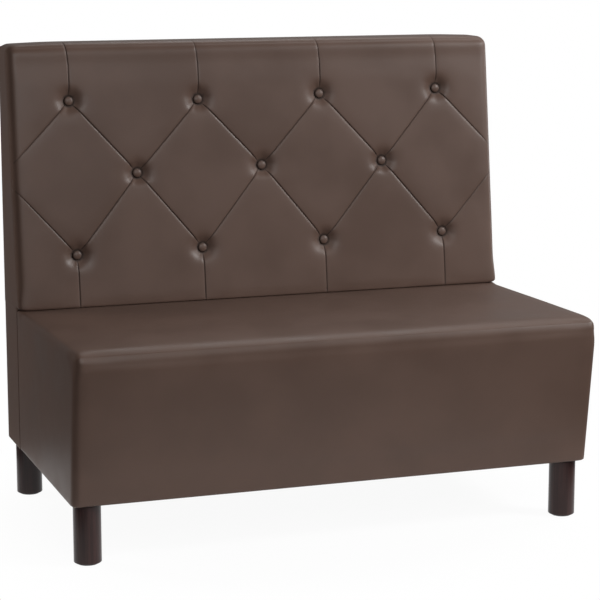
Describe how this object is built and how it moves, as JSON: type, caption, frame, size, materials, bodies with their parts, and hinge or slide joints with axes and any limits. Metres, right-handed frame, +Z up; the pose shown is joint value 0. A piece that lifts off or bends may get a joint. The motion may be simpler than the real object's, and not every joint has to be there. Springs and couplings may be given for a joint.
{
  "type": "upholstered banquette",
  "caption": "Straight cafe banquette with a smooth padded seat box and a diamond-buttoned reclined back, covered in brown leathercloth, on short round dark wooden legs.",
  "frame": {"origin": "on the floor, under the middle of the bench's bounding box", "axes": "+X along the bench to the right as seen from in front, +Y to the wall behind it, +Z up"},
  "size_m": [1.2, 0.7101, 1.07],
  "materials": {
    "leathercloth": "semi-matt brown leathercloth with a fine grain",
    "foam": "open-cell upholstery foam",
    "plywood": "sanded plywood",
    "softwood": "planed softwood",
    "hardboard": "smooth hardboard",
    "dark_stained_wood": "dark brown stain under satin lacquer",
    "webbing": "woven elastic webbing",
    "deck_cloth": "plain woven hessian",
    "dust_cloth": "black spun-bonded cloth",
    "twine": "waxed polyester twine",
    "steel": "zinc-plated steel",
    "nylon": "moulded nylon"
  },
  "bodies": {
    "root": {"seat_cover": "leathercloth", "back_cover": "leathercloth", "rear_cover": "leathercloth", "tuft_buttons": "leathercloth", "seat_foam": "foam", "seat_front_pad": "foam", "seat_side_pad_left": "foam", "seat_side_pad_right": "foam", "back_foam": "foam", "back_top_pad": "foam", "seat_front_board": "plywood", "seat_side_board_left": "plywood", "seat_side_board_right": "plywood", "seat_rear_board": "plywood", "back_side_frame_left": "plywood", "back_side_frame_right": "plywood", "back_lower_rail": "plywood", "back_base_board": "plywood", "tuft_board": "plywood", "seat_bearer": "softwood", "front_leg_blocks": "softwood", "seat_corner_blocks": "softwood", "back_top_rail": "softwood", "back_middle_rail": "softwood", "back_rear_board": "hardboard", "leg_front_left": "dark_stained_wood", "leg_front_right": "dark_stained_wood", "leg_rear_left": "dark_stained_wood", "leg_rear_right": "dark_stained_wood", "seat_webbing_cross": "webbing", "seat_webbing_long": "webbing", "seat_deck_cloth": "deck_cloth", "seat_dust_cloth": "dust_cloth", "back_dust_cloth": "dust_cloth", "tuft_twines": "twine", "tuft_washers": "steel", "leg_bolts": "steel", "leg_tee_nuts": "steel", "unit_bolts": "steel", "unit_washers": "steel", "unit_tee_nuts": "steel", "frame_screws": "steel", "leg_glides": "nylon"}
  },
  "joints": []
}
